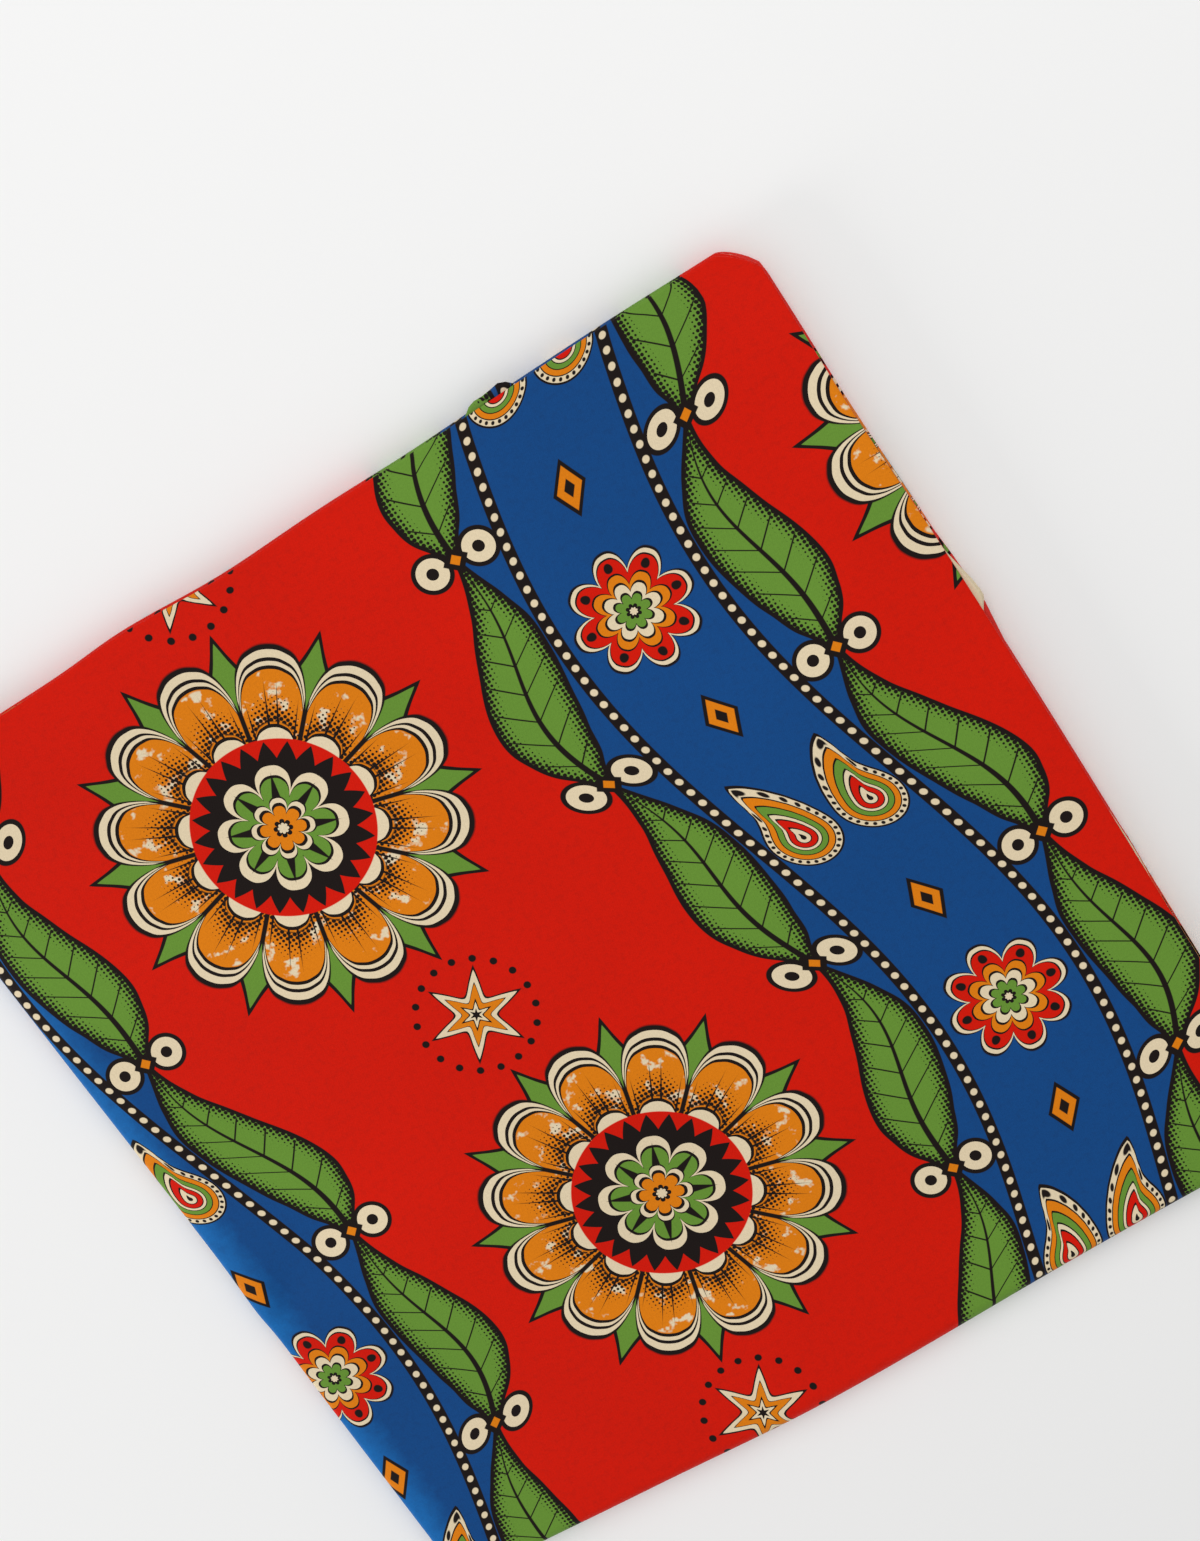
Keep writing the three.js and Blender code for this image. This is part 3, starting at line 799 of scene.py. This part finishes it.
LEAF_HALF = 12
LEAF_OUTLINE = ((0, 0), (0.06, 0.3), (0.2, 0.78), (0.38, 1), (0.6, 0.84), (0.8, 0.42), (0.93, 0.12), (1, 0))
LEAF_BEND = 3
LEAF_VEINS = 9
LEAF_VEIN = 0.03  # half its width, of the way to the next one
LEAF_VEIN_SLANT = 0.09
LEAF_RIM = 1.8  # the veins stop this far inside the leaf
LEAF_DOTS = (0.62, 0.11)  # the halftone's size at the leaf's side, and how fast it falls inwards
MIDRIB = (1.0, 0.9)  # its half width at the stalk, and how much it loses over the leaf's length
LINE = 0.65  # half a drawn line
BERRY_ASIDE = 7.5
BERRY_SIZE = 5.9
BERRY_RINGS = ((0, BLACK), (0.17, CREAM), (0.46, BLACK))
BERRY_RINGS_REACH = 10  # what the rings' whole range stands for
CLASP = ((BLACK, 4), (GOLD, 1.8))


def draw_vines(cloth, colour):
    """The vines' leaves over the stripes' joins, with two cream berries where the leaves meet."""
    step = (cloth.v / LEAF_LENGTH + 0.5).reckon("FRACT")
    width = step.curve(LEAF_OUTLINE) * LEAF_HALF
    aside = abs((cloth.stripe - RED_HALF) + (step * (2 * math.pi)).sine() * LEAF_BEND)
    inside = width - aside
    veins = ((step * LEAF_VEINS) - (aside * LEAF_VEIN_SLANT)).zigzag(0.5)
    green = dyed(GREEN, BLACK, cloth.dot.below(inside.falling(*LEAF_DOTS), 0.1))
    green = dyed(green, BLACK, veins.below(LEAF_VEIN, 0.02) * inside.above(LEAF_RIM, 1))
    green = dyed(green, BLACK, aside.below(step.falling(*MIDRIB)))
    colour = dyed(colour, green, inside.above(0))
    colour = dyed(colour, BLACK, abs(inside).below(LINE) * width.above(0.4))
    berry = distance(aside - BERRY_ASIDE, cloth.joint)
    colour = dyed(colour, (berry / BERRY_RINGS_REACH).rings(BERRY_RINGS), berry.below(BERRY_SIZE))
    clasp = aside + abs(cloth.joint)
    for dye, half in CLASP:
        colour = dyed(colour, dye, clasp.below(half))
    return colour


SELVEDGE = 1.6  # the unprinted strip along both long sides of the cloth


def draw_selvedges(cloth, colour):
    from_middle = abs(cloth.u - CLOTH_WIDTH / 2)
    return dyed(colour, CREAM, from_middle.above(CLOTH_WIDTH / 2 - SELVEDGE))


def draw_print():
    """Wavy red and blue stripes with vines between them, blossoms on the red and paisleys on the blue."""
    group, given, result = new_group("wax_print", [("Color", "NodeSocketColor")])
    cloth = print_places(group, given.outputs["Cloth"])
    colour = draw_grounds(cloth)
    for draw in (
        draw_cords,
        draw_paisleys,
        draw_flowers,
        draw_lozenges,
        draw_blossoms,
        draw_stars,
        draw_vines,
        draw_selvedges,
    ):
        colour = draw(cloth, colour)
    group.links.new(colour.socket, result.inputs["Color"])
    return group


THREAD_PAIR = 0.66  # two threads side by side
SLUBS = 1600  # per metre, how fine the threads' own unevenness is
DYE_PATCHES = 14  # and the dye's


def draw_weave():
    """The plain weave: how high its threads stand and how unevenly they took the dye."""
    outputs = [("Height", "NodeSocketFloat"), ("Tint", "NodeSocketFloat")]
    group, given, result = new_group("plain_weave", outputs)
    split = group.nodes.new("ShaderNodeSeparateXYZ")
    group.links.new(given.outputs["Cloth"], split.inputs[0])
    turns_per_metre = 2 * math.pi / (THREAD_PAIR * MM)
    warp, weft = ((Term(group, split.outputs[axis]) * turns_per_metre).sine() for axis in ("X", "Y"))
    slub = noise(group, given.outputs["Cloth"], SLUBS, detail=1)
    height = warp * weft * 0.5 + slub
    group.links.new(height.socket, result.inputs["Height"])
    patches = noise(group, given.outputs["Cloth"], DYE_PATCHES, detail=2)
    tint = (slub - 0.5) * 0.22 + (patches - 0.5) * 0.2
    group.links.new(tint.socket, result.inputs["Tint"])
    return group


wax_print = draw_print()
plain_weave = draw_weave()


def cotton(name, roughness, fade):
    """Printed cotton: the print with the weave's relief and its slight unevenness of colour."""
    material = bpy.data.materials.new(name)
    material.use_nodes = True
    nodes, links = material.node_tree.nodes, material.node_tree.links
    shader = nodes["Principled BSDF"]
    place = nodes.new("ShaderNodeUVMap")
    place.uv_map = "cloth"
    groups = []
    for tree in (wax_print, plain_weave):
        node = nodes.new("ShaderNodeGroup")
        node.node_tree = tree
        links.new(place.outputs["UV"], node.inputs["Cloth"])
        groups.append(node)
    tone = nodes.new("ShaderNodeHueSaturation")
    tone.inputs["Saturation"].default_value = fade
    value = Term(material.node_tree, groups[1].outputs["Tint"]) + 1
    links.new(value.socket, tone.inputs["Value"])
    links.new(groups[0].outputs["Color"], tone.inputs["Color"])
    links.new(tone.outputs["Color"], shader.inputs["Base Color"])
    bump = nodes.new("ShaderNodeBump")
    bump.inputs["Strength"].default_value = 0.35
    bump.inputs["Distance"].default_value = 0.00006
    links.new(groups[1].outputs["Height"], bump.inputs["Height"])
    links.new(bump.outputs["Normal"], shader.inputs["Normal"])
    shader.inputs["Roughness"].default_value = roughness
    shader.inputs["Specular IOR Level"].default_value = 0.09
    shader.inputs["Sheen Weight"].default_value = 0.03
    shader.inputs["Sheen Roughness"].default_value = 0.4
    return material


outer_cloth.data.materials.append(cotton("printed_cotton", 0.62, 1.0))
shown_cut = ((SHOWN_U[1] - SHOWN_U[0]) * MM, (SHOWN_V[1] - SHOWN_V[0]) * MM)
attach(outer_cloth, "root")
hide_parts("outer_cloth")

# ---- The plies folded inside ----
# The rest of the same cloth: seven more plies in each panel, with the narrow folds and the selvedges that
# show as layers at one side, and the raw ends inside the near fold.


def side_places(steps, turn_steps):
    """Places across the whole cloth, with the steps of its four flat plies and three folds."""
    places = []
    for i, (low, high) in enumerate(STRETCHES):
        if i % 2:
            places.append(turned(low, high, turn_steps[i // 2]))
        else:
            places.append(spaced(low, high, steps[i // 2]))
    return np.concatenate(places)


# The grid is coarse where nothing shows, with more places where the second leaf peeps out at the far end
# and at the narrow side.
COARSE_STEP = 16
DEEPER_STEP = 13
UNDER_SHOWN_STEP = 6.5
EAR_X = np.array([57, 59.5, 61.5, 64, 67, 69.5, 71.5, 73.5, 75.5])
PEEP_Y = np.array([29, 31.5, 33.5, 35.5, 37.5, 41, 46, 51])
middle_run = spaced(FAR_TURN[1], YARD - YARD_TURN, COARSE_STEP)
under_shown = np.concatenate(
    [end_places(UNDER_SHOWN_STEP, COARSE_STEP, middle_run), HALF_Y - PEEP_Y, HALF_Y - CREASE_Y]
)
deeper = np.concatenate([end_places(DEEPER_STEP, COARSE_STEP, middle_run), HALF_Y - PEEP_Y])
hidden_u = np.unique(
    np.concatenate(
        [
            side_places((COARSE_STEP, UNDER_SHOWN_STEP, COARSE_STEP, COARSE_STEP), (9, 6, 12)),
            HALF_X - EAR_X,
            ENDS_ACROSS[6] + HALF_X + EAR_X,
            ENDS_ACROSS[2] + CREASE_IN,
            SHOWN_U,
        ]
    )
)
hidden_v = np.unique(
    np.concatenate(
        [
            YARD - YARD_TURN - under_shown,
            yard_turn_places,
            YARD + YARD_TURN + deeper,
            SHOWN_V,
        ]
    )
)
inner_plies = sheet_mesh("folded_inner_plies", hidden_u, hidden_v, left_out=(SHOWN_U, SHOWN_V))
inner_plies.data.materials.append(cotton("folded_cotton", 0.68, 0.96))
inner_area = CLOTH_WIDTH * CLOTH_LENGTH * MM**2 - shown_cut[0] * shown_cut[1]
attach(inner_plies, "root")
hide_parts("inner_layers")
